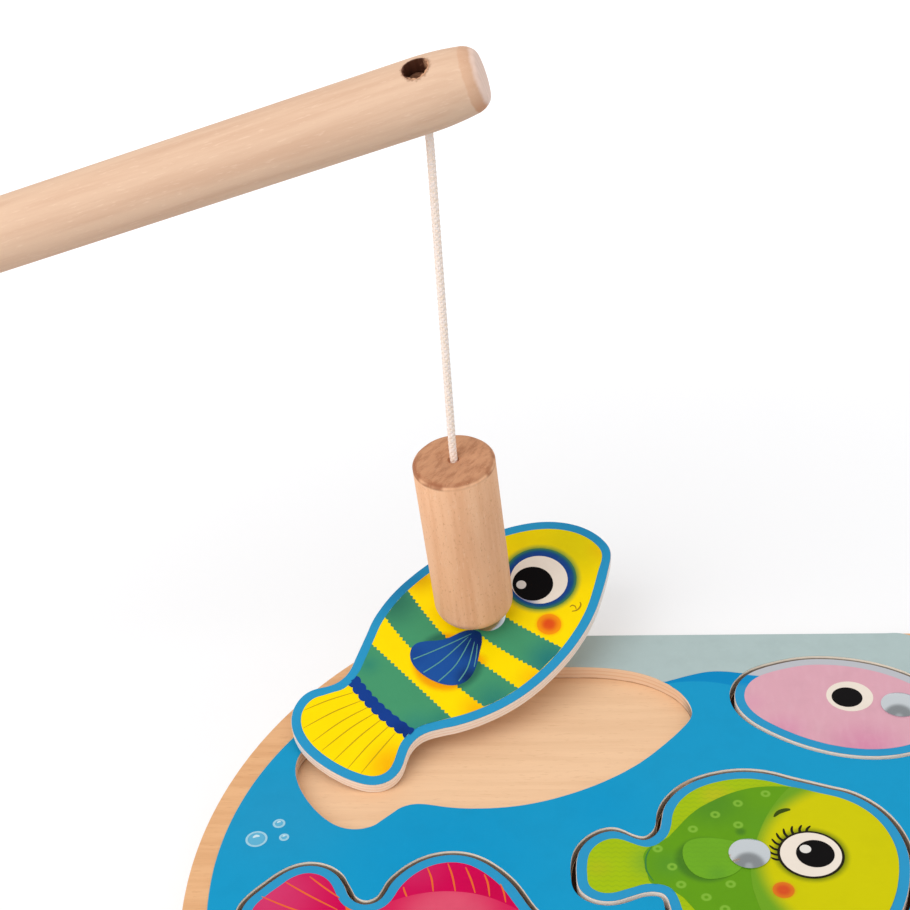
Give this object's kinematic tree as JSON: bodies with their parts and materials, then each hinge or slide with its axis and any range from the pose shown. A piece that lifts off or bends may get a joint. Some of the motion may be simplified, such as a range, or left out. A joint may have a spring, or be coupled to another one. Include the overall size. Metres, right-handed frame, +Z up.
{
  "type": "magnetic fishing puzzle",
  "caption": "Flat round-bottomed plywood puzzle board with fish pieces in recesses, and a rod with a magnet on a cord that has lifted one fish by its tack.",
  "frame": {"origin": "middle of the board's round outline, on the underside the board rests on", "axes": "+Z up out of the board's face, +Y to the board's straight edge, +X to the right of someone who faces that edge"},
  "size_m": [0.3578, 0.2258, 0.1796],
  "materials": {
    "plywood": "bare cut plywood, satin",
    "holder_wood": "turned hardwood, bare and smooth",
    "rod_wood": "beech dowel, bare and smooth",
    "steel": "polished",
    "magnet": "nickel plated",
    "cord": "braided cotton",
    "water_blue": "printed film, satin",
    "sky_grey": "printed film, satin",
    "bubble_pale": "printed ink",
    "border_blue": "printed film, satin",
    "stripe_yellow": "printed ink",
    "stripe_green": "printed ink",
    "fin_blue": "printed ink",
    "eye_shadow_blue": "printed ink",
    "eye_white": "printed ink",
    "pupil_black": "printed ink",
    "cheek_red": "printed ink",
    "leaf_green": "printed ink",
    "lime": "printed ink",
    "face_yellow": "printed ink",
    "magenta": "printed ink",
    "rose": "printed ink",
    "fin_orange": "printed ink",
    "pale_pink": "printed ink"
  },
  "bodies": {
    "root": {"base_board": "plywood", "bubble_print": "bubble_pale", "cord": "cord", "green_fish": "plywood", "green_fish_body_print": "leaf_green", "green_fish_border_print": "border_blue", "green_fish_cheek_print": "cheek_red", "green_fish_eye_glint_print": "eye_white", "green_fish_eye_print": "eye_white", "green_fish_eye_ring_print": "pupil_black", "green_fish_face_print": "face_yellow", "green_fish_fins_print": "lime", "green_fish_pupil_print": "pupil_black", "green_fish_side_fin_print": "leaf_green", "green_fish_tack": "steel", "lower_knot": "cord", "magenta_fish": "plywood", "magenta_fish_body_print": "rose", "magenta_fish_border_print": "border_blue", "magenta_fish_eye_print": "eye_white", "magenta_fish_fins_print": "magenta", "magenta_fish_pupil_print": "pupil_black", "magenta_fish_tack": "steel", "magenta_fish_tail_band_print": "fin_orange", "magnet": "magnet", "magnet_holder": "holder_wood", "pink_fish": "plywood", "pink_fish_body_print": "pale_pink", "pink_fish_border_print": "border_blue", "pink_fish_eye_print": "eye_white", "pink_fish_pupil_print": "pupil_black", "pink_fish_side_fin_print": "rose", "pink_fish_tack": "steel", "rod": "rod_wood", "sky_print": "sky_grey", "striped_fish": "plywood", "striped_fish_bands_print": "stripe_green", "striped_fish_body_print": "stripe_yellow", "striped_fish_border_print": "border_blue", "striped_fish_cheek_print": "cheek_red", "striped_fish_eye_glint_print": "eye_white", "striped_fish_eye_print": "eye_white", "striped_fish_eye_ring_print": "eye_shadow_blue", "striped_fish_pupil_print": "pupil_black", "striped_fish_side_fin_print": "fin_blue", "striped_fish_tack": "steel", "striped_fish_tail_band_print": "fin_blue", "top_board": "plywood", "upper_knot": "cord", "water_print": "water_blue"}
  },
  "joints": []
}
